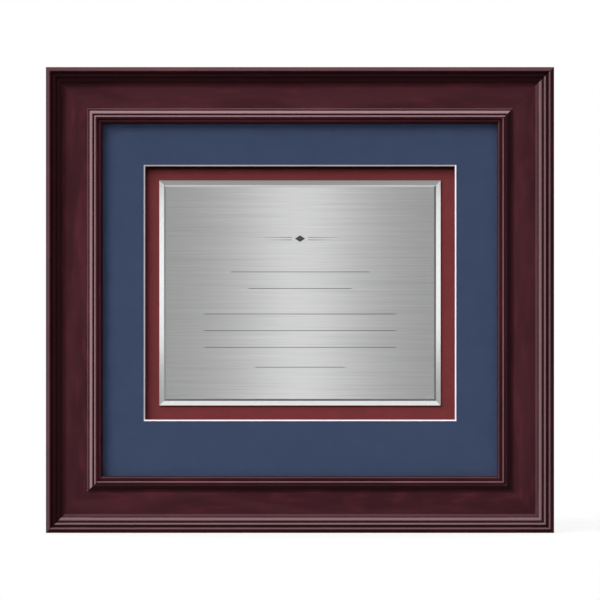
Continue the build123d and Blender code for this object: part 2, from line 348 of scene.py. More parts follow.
def bareWood(name, along, shift, halfOut):  # unfinished back, with smears of the stain
    look = bareLook
    finish = newFinish(name)
    grain = grainPlace(finish, along, shift)
    across = finish.split(grain).also("Y")
    ring = finish.noise(grain, look["rings"])
    fibre = finish.noise(grain, look["fibres"])
    smear = finish.noise(grain, look["smears"])
    pore = finish.patches(grain, look["pores"], look["poreLimits"])
    ragged = (across * across) ** 0.5 + (smear - 0.5) * look["wrapRagged"]
    wrap = finish.rise(ragged, halfOut - look["wrapWide"], halfOut + look["wrapWide"] / 4)
    wood = finish.blend(finish.rise(ring, *look["ringLimits"]), look["early"], look["late"])
    wood = finish.dim(wood, 0.84 + fibre * 0.3 - pore * 0.3)
    smeared = finish.rise(smear, *look["smearLimits"]) * look["smearShare"]
    wood = finish.blend(smeared, wood, look["smear"])
    wood = finish.blend(wrap * look["wrapShare"], wood, look["smear"])
    return finish.coat({
        "Base Color": wood,
        "Roughness": look["roughness"] + fibre * 0.16,
        "Specular IOR Level": look["specular"],
        "Normal": finish.bump(fibre + ring * 0.4, *look["relief"]),
    })


railShape = {
    "reeds": 3,
    "reedRadius": 3.0 * mm,
    "reedSpacing": 5.1 * mm,
    "reedSlope": math.radians(34.5),
    "crestInset": 2.5 * mm,  # first reed's middle from the outer edge
    "ridgeInset": 3.3 * mm,  # where the rim's flat meets that reed
    "rimSlope": math.radians(37.5),
    "ridgeRise": 8.827 * mm,  # over the top of the cove
    "lastCrest": 9.5 * mm,  # the last reed is broader than the others
    "lastRadius": 5.8 * mm,
    "foot": 14.0 * mm,
    "quirk": 0.5 * mm,
    "coveWidth": 3.9 * mm,
    "coveRise": 1.5 * mm,
    "panelOverLedge": 4.0 * mm,
    "stepRise": 0.9 * mm,
    "stepWall": 0.45 * mm,
    "stepWidth": 2.0 * mm,
    "ovoloWide": 4.0 * mm,
    "ovoloHigh": 3.4 * mm,
    "ovoloWall": 1.8 * mm,
    "ovoloRadius": 6.0 * mm,
    "beadQuirk": 0.28 * mm,
    "beadWide": 3.3 * mm,
    "beadHigh": 0.75 * mm,
    "beadProud": 0.3 * mm,
    "beadOuter": 2.6 * mm,  # radius towards the panel
    "beadInner": 1.4 * mm,
    "grooveWidth": 2.15 * mm,
    "grooveDrop": 0.6 * mm,
    "lipRadius": 2.2 * mm,
    "lipThickness": 6.0 * mm,
    "layerClearance": 1.5 * mm,
    "arcStep": math.radians(6.5),
    "cornerTurn": 40.0,  # degrees, from which a corner counts as sharp
    "arris": 0.16 * mm,  # rounding of the sharp corners
    "stepArris": 0.2 * mm,
    "coveArris": 0.3 * mm,
    "arrisRoom": 2.2,  # arrises that a face beside a rounded corner has room for
    "arrisSteps": (0.0, 0.3, 0.7, 1.0),
    "support": 0.5 * mm,  # rows beside a corner, which keep its shading local
    "longFace": 2.0 * mm,  # faces that get such rows
    "jointStain": 0.35,  # in the mitre's hairline
}
railTone = {  # shares of dark stain, which also paints shade into the mouldings, and of gloss
    "side": (0.3, 0.08),
    "rim": (0.4, 0.21),
    "firstReed": (0.6, 0.38),
    # the reeds, the ovolo and the lip take high shares of the dark stain as painted shade
    "reedOut": (0.86, 0.05),
    "reedIn": (0.88, 0.62),
    "cove": (0.35, 0.15),
    # painted shade at the panel's foot, beside the cove
    "panelFoot": (0.22, 0.6),
    "panel": (0.0, 0.6),
    "step": (0.1, 0.25),
    "ovolo": (1.0, 1.0),
    "bead": (0.6, 1.0),
    "beadInside": (0.0, 0.65),
    "groove": (0.2, 0.05),
    "lip": (0.7, 0.2),
    # painted shade in the hollow corners
    "hollow": (0.7, 0.42),
}
railLow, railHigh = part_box("top_rail")
halfWide = railHigh.x
halfHigh = railHigh.z
railWidth = railHigh.z - railLow.z
ledgeDepth = -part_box("glazing_sheet")[0].y
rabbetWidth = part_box("glazing_sheet")[1].x - (halfWide - railWidth) + railShape["layerClearance"]
reedAcross = railShape["reedSpacing"] * math.cos(railShape["reedSlope"])
reedFall = railShape["reedSpacing"] * math.sin(railShape["reedSlope"])


def arcRise(radius, aside):  # rise of an arc over its centre, at a distance to one side
    return math.sqrt(radius**2 - aside**2)


def arcTo(points, centre, end, turn):  # from the last point to end; turn 1 is counter-clockwise
    start = points[-1]
    first = math.atan2(start[1] - centre[1], start[0] - centre[0])
    last = math.atan2(end[1] - centre[1], end[0] - centre[0])
    sweep = (last - first) * turn % math.tau
    radius = math.dist(start, centre)
    count = max(2, round(sweep / railShape["arcStep"]))
    for i in range(1, count + 1):
        angle = first + turn * sweep * i / count
        points.append((centre[0] + radius * math.cos(angle), centre[1] + radius * math.sin(angle)))


def bowTo(points, end, radius):  # clockwise arc of a given radius
    start, end = Vector(points[-1]), Vector(end)
    chord = end - start
    aside = Vector((chord.y, -chord.x)).normalized() * math.sqrt(radius**2 - chord.length_squared / 4)
    arcTo(points, (start + end) / 2 + aside, end, -1)


def railMarks():  # where the members of the face meet, from the outer edge
    size = railShape
    lip = railWidth - size["lipRadius"]
    groove = lip - size["grooveWidth"]
    bead = groove - size["beadWide"]
    quirkWall = bead - size["beadQuirk"]
    ovolo = quirkWall - size["ovoloWide"]
    return {
        "panel": size["foot"] + size["quirk"] + size["coveWidth"],
        "step": ovolo - size["stepWidth"],
        "ovolo": ovolo,
        "quirkWall": quirkWall,
        "bead": bead,
        "groove": groove,
        "lip": lip,
    }


def memberAt(across, inward):  # member of the face, by its place and whether it faces the opening
    size = railShape
    mark = railMarks()
    ends = {
        "side": size["arris"] / 4,
        "rim": size["ridgeInset"] + size["arris"],
        "firstReed": size["crestInset"] + reedAcross / 2,
        "reedOut": size["foot"],
        "cove": mark["panel"],
        "panelFoot": mark["panel"] + 2 * size["support"],
        "panel": mark["step"],
        "step": mark["ovolo"],
        "ovolo": mark["bead"],
        "bead": mark["groove"],
        "groove": mark["lip"] + size["arris"],
    }
    member = next((name for name, end in ends.items() if across < end), "lip")
    return {"reedOut": "reedIn", "bead": "beadInside"}.get(member, member) if inward else member


def reedsAndCove(panel):  # from the back's outer corner to the panel
    size = railShape
    coveTop = panel + size["coveRise"]
    crestHigh = coveTop + size["ridgeRise"]
    rimHigh = crestHigh - size["ridgeInset"] * math.tan(size["rimSlope"])
    points = [(0.0, 0.0), (0.0, rimHigh), (size["ridgeInset"], crestHigh)]
    crease = arcRise(size["reedRadius"], size["reedSpacing"] / 2)
    firstHigh = crestHigh - arcRise(size["reedRadius"], size["ridgeInset"] - size["crestInset"])
    for i in range(size["reeds"] - 1):
        centre = (size["crestInset"] + i * reedAcross, firstHigh - i * reedFall)
        end = (
            centre[0] + reedAcross / 2 + crease * math.sin(size["reedSlope"]),
            centre[1] - reedFall / 2 + crease * math.cos(size["reedSlope"]),
        )
        arcTo(points, centre, end, -1)
    lastHigh = points[-1][1] - arcRise(size["lastRadius"], points[-1][0] - size["lastCrest"])
    footHigh = lastHigh + arcRise(size["lastRadius"], size["foot"] - size["lastCrest"])
    arcTo(points, (size["lastCrest"], lastHigh), (size["foot"], footHigh), -1)
    points += [(size["foot"], coveTop), (size["foot"] + size["quirk"], coveTop)]
    coveEnd = railMarks()["panel"]
    coveRadius = (size["coveWidth"] ** 2 + size["coveRise"] ** 2) / (2 * size["coveRise"])
    arcTo(points, (coveEnd, panel + coveRadius), (coveEnd, panel), 1)
    return points


def railSection():  # clockwise; first value from the outer edge, second from the back
    size = railShape
    mark = railMarks()
    panel = ledgeDepth + size["panelOverLedge"]
    points = reedsAndCove(panel)
    step = panel + size["stepRise"]
    points += [(mark["step"], panel), (mark["step"], panel + size["stepWall"]), (mark["ovolo"], step)]
    points.append((mark["ovolo"], step + size["ovoloWall"]))
    ovoloTop = step + size["ovoloHigh"]
    bowTo(points, (mark["quirkWall"], ovoloTop), size["ovoloRadius"])

    beadTop = ovoloTop + size["beadProud"]
    crest = mark["groove"] - size["beadInner"]
    shoulder = beadTop - size["beadOuter"] + arcRise(size["beadOuter"], crest - mark["bead"])
    quirkFloor = beadTop - size["beadHigh"]
    points += [(mark["quirkWall"], quirkFloor), (mark["bead"], quirkFloor), (mark["bead"], shoulder)]
    arcTo(points, (crest, beadTop - size["beadOuter"]), (crest, beadTop), -1)
    beadFoot = beadTop - size["beadInner"]
    arcTo(points, (crest, beadFoot), (mark["groove"], beadFoot), -1)

    lipCrest = ledgeDepth + size["lipThickness"]
    lipFoot = lipCrest - size["lipRadius"]
    rabbet = railWidth - rabbetWidth
    points += [(mark["groove"], lipCrest - size["grooveDrop"]), (mark["lip"], lipCrest)]
    arcTo(points, (mark["lip"], lipFoot), (railWidth, lipFoot), -1)
    points += [(railWidth, ledgeDepth), (rabbet, ledgeDepth), (rabbet, 0.0)]
    return [Vector(p) for p in points]


def turnAt(before, here, after):  # degrees; positive at a hollow corner
    return math.degrees((after - here).angle_signed(here - before))


def easedSection(section):  # rounds outside corners, adds support rows, and names each row's member
    size = railShape
    rows = []

    def supportRow(here, end, inward):
        if (end - here).length > size["longFace"]:
            spot = here + (end - here).normalized() * size["support"]
            rows.append((spot, memberAt(spot.x, inward)))

    for i, here in enumerate(section):
        before, after = section[i - 1], section[(i + 1) % len(section)]
        turn = turnAt(before, here, after)
        room = min((before - here).length, (after - here).length)
        member = memberAt(here.x, after.y < before.y)
        arris = size.get(member + "Arris", size["arris"])
        supportRow(here, before, here.y < before.y)
        if turn < -size["cornerTurn"] and room > size["arrisRoom"] * arris:
            first = here + (before - here).normalized() * arris
            last = here + (after - here).normalized() * arris
            for t in size["arrisSteps"]:
                rows.append((first * (1 - t) ** 2 + here * 2 * t * (1 - t) + last * t**2, member))
        else:
            # hollow corners take the hollow tone, which paints shade into them
            hollow = turn > size["cornerTurn"] and member != "groove"
            rows.append((here, "hollow" if hollow else member))
        supportRow(here, after, after.y < here.y)
    return rows


def mitredRail(name, along, side, shift):
    size = railShape
    lacquered, bare = 0, 1
    shape = bmesh.new()
    tone = shape.verts.layers.float_color.new("tone")
    rows = easedSection(railSection())
    halfLong, halfOut = (halfWide, halfHigh) if along == "x" else (halfHigh, halfWide)
    strips = []
    for point, member in rows:
        reach = halfLong - point.x
        out = side * (halfOut - point.x)
        # first share: dark stain and painted shade; the darker mitre hairline is the joint's own
        stain, gloss = railTone[member]
        strip = []
        for run in (-reach, size["support"] - reach, reach - size["support"], reach):
            spot = (run, -point.y, out) if along == "x" else (out, -point.y, run)
            vert = shape.verts.new(spot)
            joint = size["jointStain"] if abs(run) == reach else 0.0
            vert[tone] = (max(stain, joint), gloss, 0.0, 1.0)
            strip.append(vert)
        strips.append(strip)
    for i, near in enumerate(strips):
        n = (i + 1) % len(strips)
        far = strips[n]
        middle = (rows[i][0] + rows[n][0]) / 2
        isBare = middle.y < ledgeDepth + size["arris"] / 2 and middle.x > size["arris"]
        for k in range(len(near) - 1):
            face = shape.faces.new((near[k], near[k + 1], far[k + 1], far[k]))
            face.material_index = bare if isBare else lacquered
    ends = [shape.faces.new([strip[k] for strip in strips]) for k in (0, -1)]
    for face in ends:
        face.material_index = bare
    shape.normal_update()  # the fill needs the ends' normals
    bmesh.ops.triangulate(shape, faces=ends, ngon_method="BEAUTY")
    materials = [
        railLacquer(name + "_lacquer", along, shift),
        bareWood(name + "_bare", along, shift, halfOut),
    ]
    return newPiece(name + "_moulding", shape, materials, [name])


railRuns = {"top_rail": ("x", 1), "bottom_rail": ("x", -1), "left_rail": ("z", -1), "right_rail": ("z", 1)}
for index, (name, (along, side)) in enumerate(railRuns.items()):
    mitredRail(name, along, side, railLook["shift"] * (index + 1))
print("rails:", len(easedSection(railSection())), "points in the section")


# Boards: mat, mount board, lift strips, tape and back
boardLook = {
    "navy": (ink(57, 69, 96), ink(51, 62, 88)),  # face, and its darker fibres
    "red": (ink(120, 52, 54), ink(108, 46, 49)),
    "core": (ink(244, 236, 242), ink(230, 221, 227)),
    "fibres": grainOf(0.9, 0.9, 0.35, 3.0, 0.65),
    "mottle": grainOf(14, 14, 14, 3.0, 0.6),
    "faceLimits": (0.32, 0.66),
    "roughness": 0.82,
    "specular": 0.15,
    "relief": (0.03 * mm, 0.35),
}


def paperBoard(name, colour):
    look = boardLook
    finish = newFinish(name)
    at = finish.place()
    face, dark = look[colour]
    fibre = finish.noise(at, look["fibres"])
    mottle = finish.noise(at, look["mottle"])
    paper = finish.rise(fibre * 0.65 + mottle * 0.35, *look["faceLimits"])
    return finish.coat({
        "Base Color": finish.blend(paper, dark, face),
        "Roughness": look["roughness"] + fibre * 0.14,
        "Specular IOR Level": look["specular"],
        "Normal": finish.bump(fibre, *look["relief"]),
    })


matShape = {
    "border": 12.7 * mm,  # of the red board, round the plate
    "edgeRound": 0.12 * mm,  # knife edge of the window, softened
    "paperThick": 0.18 * mm,  # navy face paper over the white core
}


def bevelledMat():
    size = matShape
    *outer, back, front = sizeOf("navy_mat")
    plateWide, plateHigh, middle = sizeOf("bevelled_base_plate")[:3]
    wide = plateWide + size["border"]
    high = plateHigh + size["border"]
    thick = back - front

    def window(rise):  # the 45 degree cut, by height over the mat's back
        return (wide + rise, high + rise, middle, back - rise)

    edge = thick + size["edgeRound"]
    rings = [
        (*outer, back),
        (*outer, front + size["paperThick"]),
        (*outer, front),
        (wide + edge, high + edge, middle, front),
        window(thick - size["edgeRound"] / 2),
        window(thick - size["paperThick"]),
        window(0.0),
    ]
    paper, core = 0, 1
    shape = loftRings(rings, "joined", (core, paper, paper, paper, paper, core, core))
    materials = [paperBoard("navy_face", "navy"), paperBoard("white_core", "core")]
    return newPiece("bevelled_navy_mat", shape, materials, ["navy_mat"])


bevelledMat()
dress("red_mount_board", paperBoard("red_face", "red"))
print("mat and mount board done")


foamLook = {"foam": ink(236, 234, 228), "cell": 0.5 * mm, "roughness": 0.8, "relief": (0.08 * mm, 0.5)}


def foamCore():
    look = foamLook
    finish = newFinish("foam_core")
    cells = finish.node("ShaderNodeTexVoronoi", {}, {"Vector": finish.place(), "Scale": 1 / look["cell"]})
    return finish.coat({
        "Base Color": finish.dim(look["foam"], 0.9 + cells * 0.14),
        "Roughness": look["roughness"] + cells * 0.15,
        "Normal": finish.bump(cells, *look["relief"]),
    })


tapeLook = {
    "film": ink(226, 222, 206),
    "ribs": grainOf(3, 3, 0.6),
    "roughness": 0.5,
    "relief": (0.05 * mm, 0.4),
}


def tapeFilm():
    look = tapeLook
    finish = newFinish("tape_film")
    ribs = finish.noise(finish.place(), look["ribs"])
    return finish.coat({
        "Base Color": finish.dim(look["film"], 0.85 + ribs * 0.25),
        "Roughness": look["roughness"] + ribs * 0.3,
        "Normal": finish.bump(ribs, *look["relief"]),
    })


backLook = {
    "fibre": ink(124, 86, 56),
    "fibreDark": ink(94, 62, 39),
    "fleck": ink(168, 130, 92),
    "chip": ink(62, 39, 25),
    "fibres": grainOf(3.2, 1.0, 0.7, 4.0, 0.66, 1.4),
    "crossFibres": grainOf(0.7, 1.0, 3.2, 4.0, 0.66, 1.4),
    "blotches": grainOf(52, 52, 52),
    "flecks": grainOf(2.6, 0.6, 0.4, 2.0, 0.5, 1.6),
    "chips": grainOf(0.5, 0.6, 2.2, 2.0, 0.5, 1.6),
    "fibreLimits": (0.4, 0.6),
    "fleckLimits": (0.62, 0.7),
    "fleckShare": 0.55,
    "chipShare": 0.5,
    "roughness": 0.5,
    "specular": 0.4,
    "relief": (0.05 * mm, 0.4),
    "arris": 0.4 * mm,  # sanded edge
}


def hardboard():
    look = backLook
    finish = newFinish("hardboard")
    at = finish.place()
    fibre = finish.noise(at, look["fibres"]) * 0.5 + finish.noise(at, look["crossFibres"]) * 0.5
    blotch = finish.noise(at, look["blotches"])
    fleck = finish.patches(at, look["flecks"], look["fleckLimits"])
    chip = finish.patches(at, look["chips"], look["fleckLimits"])
    shade = finish.rise(fibre * 0.86 + blotch * 0.14, *look["fibreLimits"])
    board = finish.blend(shade, look["fibreDark"], look["fibre"])
    board = finish.blend(fleck * look["fleckShare"], board, look["fleck"])
    board = finish.blend(chip * look["chipShare"], board, look["chip"])
    return finish.coat({
        "Base Color": board,
        "Roughness": look["roughness"] + fibre * 0.3,
        "Specular IOR Level": look["specular"],
        "Normal": finish.bump(fibre + fleck * 0.3, *look["relief"]),
    })


def backBoard():
    arris = backLook["arris"]
    wide, high, middle, back, front = sizeOf("backing_board")
    rings = [
        (wide - arris, high - arris, middle, back),
        (wide, high, middle, back - arris),
        (wide, high, middle, front + arris),
        (wide - arris, high - arris, middle, front),
    ]
    return newPiece("eased_backing_board", loftRings(rings), [hardboard()], ["backing_board"])


foam = foamCore()
for side in ("top", "bottom", "left", "right"):
    dress(side + "_lift_strip", foam)
dress("plate_tape_strips", tapeFilm())
backBoard()
print("lift strips, tape and back done")


# Glazing: clear sheet with a low reflection
glazingLook = {"index": 1.25, "roughness": 0.03, "smears": grainOf(60, 60, 22, 3.0, 0.6, 0.4)}


def clearGlazing():
    look = glazingLook
    finish = newFinish("clear_glazing")
    smear = finish.noise(finish.place(), look["smears"])
    roughness = look["roughness"] + smear * 0.05
    gleam = finish.shell({"Base Color": white, "Metallic": 1.0, "Roughness": roughness})
    inside = finish.node("ShaderNodeNewGeometry", output="Backfacing")
    mirror = finish.node("ShaderNodeFresnel", {}, {"IOR": look["index"]}) * (1 - inside)
    return finish.coverMixed(mirror, finish.clear(), gleam)


dress("glazing_sheet", clearGlazing())


# Metal plate: polished bevelled base, brushed face with a chamfered edge, plain engraved rules
plateLook = {
    "polished": ink(236, 236, 237),
    "chamfer": ink(214, 215, 216),
    "brushed": ink(226, 227, 226),
    "brushedDark": ink(204, 205, 205),
    "haze": grainOf(30, 30, 30, 3.0, 0.6),
    "swirls": grainOf(6, 6, 6, 4.0, 0.7, 1.2),
    "lines": grainOf(90, 90, 0.22, 4.0, 0.7),
    "streaks": grainOf(140, 140, 1.1, 3.0, 0.6),
    "brushedLimits": (0.34, 0.66),
    "polishedRoughness": 0.1,
    "chamferRoughness": 0.26,
    "brushedRoughness": 0.28,
    "anisotropy": 0.88,
    "grooveTurn": 0.25,  # of a whole turn: along x
    "polishedRelief": (0.004 * mm, 0.1),
    "brushedRelief": (0.01 * mm, 0.2),
}


def polishedMetal(kind):
    look = plateLook
    finish = newFinish(kind + "_metal")
    at = finish.place()
    haze = finish.noise(at, look["haze"])
    swirl = finish.noise(at, look["swirls"])
    return finish.coat({
        "Base Color": finish.dim(look[kind], 0.95 + haze * 0.08),
        "Metallic": 1.0,
        "Roughness": look[kind + "Roughness"] + haze * 0.04 + swirl * 0.03,
        "Normal": finish.bump(swirl, *look["polishedRelief"]),
    })


def brushedMetal():
    look = plateLook
    finish = newFinish("brushed_metal")
    at = finish.place()
    brushing = finish.noise(at, look["lines"]) * 0.6 + finish.noise(at, look["streaks"]) * 0.4
    bright = finish.rise(brushing, *look["brushedLimits"])
    return finish.coat({
        "Base Color": finish.blend(bright, look["brushedDark"], look["brushed"]),
        "Metallic": 1.0,
        "Roughness": look["brushedRoughness"] + brushing * 0.06,
        "Anisotropic": look["anisotropy"],
        "Anisotropic Rotation": look["grooveTurn"],
        "Normal": finish.bump(brushing, *look["brushedRelief"]),
    })


plateShape = {
    "rimThick": 0.6 * mm,
    "rimRound": 0.12 * mm,
    "faceRim": 0.3 * mm,
    "chamferWide": 1.8 * mm,
    "fieldRound": 0.1 * mm,
    "sharp": 8.0,  # degrees; the bevels are shallow
}


def basePlate():
    size = plateShape
    wide, high, middle, back, front = sizeOf("bevelled_base_plate")
    inset = wide - sizeOf("brushed_face_plate")[0]
    rim = back - size["rimThick"]
    r = size["rimRound"]
    rings = [
        (wide - r, high - r, middle, back),
        (wide, high, middle, back - r),
        (wide, high, middle, rim + r),
        (wide - r, high - r, middle, rim),
        (wide - inset, high - inset, middle, front),
    ]
    return newPiece("polished_base_plate", loftRings(rings), [polishedMetal("polished")],
                    ["bevelled_base_plate"], sharp=size["sharp"])


def facePlate():
    size = plateShape
    wide, high, middle, back, front = sizeOf("brushed_face_plate")
    r = size["fieldRound"]
    outside = size["chamferWide"] - r
    inside = size["chamferWide"] + r
    rings = [
        (wide, high, middle, back),
        (wide, high, middle, back - size["faceRim"]),
        (wide - outside, high - outside, middle, front + r / 2),
        (wide - inside, high - inside, middle, front),
    ]
    brushed, polished = 0, 1
    shape = loftRings(rings, faces=(polished, polished, polished, brushed))
    return newPiece("brushed_field_plate", shape, [brushedMetal(), polishedMetal("chamfer")],
                    ["brushed_face_plate"], sharp=size["sharp"])


basePlate()
facePlate()


engraving = {  # lengths along the plate in mm, places over its middle
    "fill": ink(60, 61, 64),
    "grain": grainOf(0.4, 0.4, 0.4, 3.0, 0.6),
    "roughness": 0.45,
    "relief": (0.01 * mm, 0.3),
    "proud": 0.03 * mm,
    "ruleHeight": 0.5,
    "ruleTip": 3,
    "rules": ((19, 128), (4, 96), (-19, 176), (-34, 176), (-49, 176), (-67, 84)),  # place, length
    "ornament": 49,
    "lozenge": (4.6, 3.0),
    "spikeStart": 7.5,
    "spikes": ((40, 1.1), (31, -1.1)),  # reach to each side, and place over the ornament's middle
}


def engravedFill():
    look = engraving
    finish = newFinish("engraved_fill")
    grain = finish.noise(finish.place(), look["grain"])
    return finish.coat({
        "Base Color": finish.dim(look["fill"], 0.8 + grain * 0.4),
        "Roughness": look["roughness"] + grain * 0.3,
        "Normal": finish.bump(grain, *look["relief"]),
    })


def engravedRules():
    size = engraving
    middle = sizeOf("brushed_face_plate")[2]
    front = sizeOf("brushed_face_plate")[4]
    shape = bmesh.new()

    def mark(*outline):
        spots = [(x * mm, middle + z * mm) for x, z in outline]
        raisedOutline(shape, spots, front + size["proud"], front - size["proud"])

    half = size["ruleHeight"] / 2
    for z, length in size["rules"]:
        end = length / 2
        flat = end - size["ruleTip"]
        mark((-end, z), (-flat, z + half), (flat, z + half), (end, z), (flat, z - half), (-flat, z - half))
    z = size["ornament"]
    wide, high = size["lozenge"]
    mark((-wide, z), (0, z + high), (wide, z), (0, z - high))
    for side in (-1, 1):
        near = side * size["spikeStart"]
        for reach, lift in size["spikes"]:
            mark((near, z + lift + half), (side * reach, z + lift), (near, z + lift - half))
    return newPiece("engraved_rules", shape, [engravedFill()])


engravedRules()
print("glazing and plate done")


# Hardware on the back: nails, turn buttons, screws, hangers and bumpers
steelLook = {
    "zinc": (ink(188, 190, 192), ink(132, 134, 138)),  # bright, tarnished
    "nickel": (ink(206, 203, 196), ink(150, 144, 134)),
    "brass": (ink(200, 168, 100), ink(138, 104, 54)),
    "tarnish": grainOf(5, 5, 5, 5.0, 0.66, 0.5),
    "scratches": grainOf(5, 5, 0.16, 3.0, 0.7, 0.3),
    "spangles": grainOf(1.6, 1.6, 1.6),
    "tarnishLimits": (0.48, 0.74),
    "tarnishShare": 0.7,
    "relief": (0.016 * mm, 0.25),
}
platings = {  # metal, roughness
    "nail_steel": ("zinc", 0.34),
    "screw_steel": ("zinc", 0.24),
    "button_steel": ("brass", 0.28),
    "hanger_steel": ("nickel", 0.24),
    "ring_steel": ("nickel", 0.18),
}


def platedSteel(name, metal, roughness):
    look = steelLook
    finish = newFinish(name)
    at = finish.place()
    bright, dull = look[metal]
    tarnish = finish.noise(at, look["tarnish"])
    scratch = finish.noise(at, look["scratches"])
    spangle = finish.noise(at, look["spangles"])
    tarnished = finish.rise(tarnish, *look["tarnishLimits"]) * look["tarnishShare"]
    plating = finish.blend(tarnished, bright, dull)
    return finish.coat({
        "Base Color": finish.dim(plating, 0.78 + spangle * 0.14 + scratch * 0.22),
        "Metallic": 1.0,
        "Roughness": roughness + tarnish * 0.2 + scratch * 0.08,
        "Normal": finish.bump(scratch + spangle * 0.4, *look["relief"]),
    })


steel = {name: platedSteel(name, *plating) for name, plating in platings.items()}


rubberLook = {
    "rubber": ink(44, 40, 38),
    "dust": ink(92, 86, 80),
    "dusting": grainOf(3, 3, 3, 5.0, 0.65),
    "pebbles": grainOf(0.35, 0.35, 0.35),
    "dustLimits": (0.5, 0.8),
    "dustShare": 0.4,
    "roughness": 0.55,
    "relief": (0.03 * mm, 0.35),
}


def bumperRubber():
    look = rubberLook
    finish = newFinish("bumper_rubber")
    at = finish.place()
    dust = finish.noise(at, look["dusting"])
    pebble = finish.noise(at, look["pebbles"])
    dusty = finish.rise(dust, *look["dustLimits"]) * look["dustShare"]
    return finish.coat({
        "Base Color": finish.blend(dusty, look["rubber"], look["dust"]),
        "Roughness": look["roughness"] + dust * 0.25,
        "Normal": finish.bump(pebble, *look["relief"]),
    })


nailShape = {
    "leg": 6.0 * mm,
    "thick": 0.6 * mm,
    "depth": 10.0 * mm,
    "insets": (10.0 * mm, 32.95 * mm),  # from the frame's corner, both ways
    "proud": 0.06 * mm,
}


def cornerNails():
    size = nailShape
    leg, thick = size["leg"], size["thick"]
    outline = [(0, 0), (leg, 0), (leg, thick), (thick, thick), (thick, leg), (0, leg)]
    shape = bmesh.new()
    for sideX in (-1, 1):
        for sideZ in (-1, 1):
            for inset in size["insets"]:
                cornerX, cornerZ = halfWide - inset, halfHigh - inset
                spots = [(sideX * (cornerX - u), sideZ * (cornerZ - w)) for u, w in outline]
                raisedOutline(shape, spots, size["proud"], -size["depth"])
    return newPiece("driven_v_nails", shape, [steel["nail_steel"]], ["corner_v_nails"])


screwShape = {
    "headRadius": 3.5 * mm,
    "headHeight": 1.9 * mm,
    "shoulder": 0.9 * mm,
    "shoulderSteps": 6,
    "underRound": 0.15 * mm,
    "shankRadius": 1.75 * mm,
    "bite": 10.0 * mm,
    "point": 3.0 * mm,
    "recessLong": 1.9 * mm,
    "recessWide": 0.45 * mm,
    "recessDeep": 1.0 * mm,
    "recessTaper": 0.55,
    "sides": 40,
    "sharp": 40.0,  # degrees
    "firstTurn": 0.45,  # radians; each recess stands at another angle
    "turnStep": 1.1,
    "buttonSeat": 1.4 * mm,  # under the head, over the wood
    "strapSeat": 2.0 * mm,
    "strapDrops": (17.5 * mm, 28.0 * mm),  # below the ring's bar
}


def screwBody(shape, x, z, seat, top):  # pointed shank and domed head, open on top
    size = screwShape
    lathe = [
        (size["shankRadius"], size["point"] - size["bite"]),
        (size["shankRadius"], seat),
        (size["headRadius"] - size["underRound"], seat),
        (size["headRadius"], seat + size["underRound"]),
    ]
    for step in range(size["shoulderSteps"] + 1):
        angle = math.radians(90 * step / size["shoulderSteps"])
        inset = size["shoulder"] * (1 - math.cos(angle))
        lathe.append((size["headRadius"] - inset, top - size["shoulder"] * (1 - math.sin(angle))))
    rings = []
    for radius, y in lathe:
        ring = []
        for k in range(size["sides"]):
            angle = math.tau * k / size["sides"]
            ring.append(shape.verts.new((x + radius * math.cos(angle), y, z + radius * math.sin(angle))))
        rings.append(ring)
    tip = shape.verts.new((x, -size["bite"], z))
    for k in range(size["sides"]):
        shape.faces.new((tip, rings[0][k - 1], rings[0][k]))
    joinLoops(shape, rings, "open")
    return rings[-1]


def panHeadScrew(shape, x, z, seat, turn):  # with a tapered cross recess
    size = screwShape
    top = seat + size["headHeight"]
    rim = screwBody(shape, x, z, seat, top)
    long, wide, taper = size["recessLong"], size["recessWide"], size["recessTaper"]
    mouth, floor = [], []
    for arm in range(4):
        angle = turn + arm * math.pi / 2
        for u, w in ((long, -wide), (long, wide), (wide, wide)):
            across = u * math.cos(angle) - w * math.sin(angle)
            up = u * math.sin(angle) + w * math.cos(angle)
            mouth.append(shape.verts.new((x + across, top, z + up)))
            floor.append(shape.verts.new((x + across * taper, top - size["recessDeep"], z + up * taper)))
    edges = [shape.edges.get((rim[k - 1], rim[k])) for k in range(len(rim))]
    edges += [shape.edges.new((mouth[k - 1], mouth[k])) for k in range(len(mouth))]
    bmesh.ops.triangle_fill(shape, use_beauty=True, use_dissolve=False, edges=edges)
    joinLoops(shape, [mouth, floor], "open")
    shape.faces.new(floor)


def screwGroup(name, node, spots, seat):
    size = screwShape
    shape = bmesh.new()
    for index, (x, z) in enumerate(spots):
        panHeadScrew(shape, x, z, seat, size["firstTurn"] + size["turnStep"] * index)
    return newPiece(name, shape, [steel["screw_steel"]], [node], sharp=size["sharp"])


pivots = {joint["child"]: (joint["pos_m"][0], joint["pos_m"][2]) for joint in frame["joints"]}
buttonSpots = {name: spot for name, spot in pivots.items() if name.startswith("turn_button")}
ringSpots = {name: spot for name, spot in pivots.items() if name.endswith("d_ring")}
hangerSpots = [(x, z - drop) for x, z in ringSpots.values() for drop in screwShape["strapDrops"]]
cornerNails()
screwGroup("button_pan_screws", "turn_button_screws", buttonSpots.values(), screwShape["buttonSeat"])
screwGroup("hanger_pan_screws", "hanger_screws", hangerSpots, screwShape["strapSeat"])


buttonShape = {
    "pivotRadius": 6.0 * mm,
    "tipRadius": 5.0 * mm,
    "reach": 24.0 * mm,  # pivot to tip
    "thick": 1.2 * mm,
    "gap": 0.1 * mm,  # under the button
    "hole": 1.83 * mm,
    "bend": 17.0 * mm,  # pivot to the bent-up tip
    "bendSlope": math.tan(math.radians(18)),
    "bendLong": 2.4 * mm,
    "bendCuts": 6,
    "rolled": 0.35 * mm,  # upper edge, rolled over by the punch
    "rollSteps": 4,
    "burr": 0.08 * mm,
    "arcPoints": 26,
    "sidePoints": 8,
    "sharp": 50.0,  # degrees
}


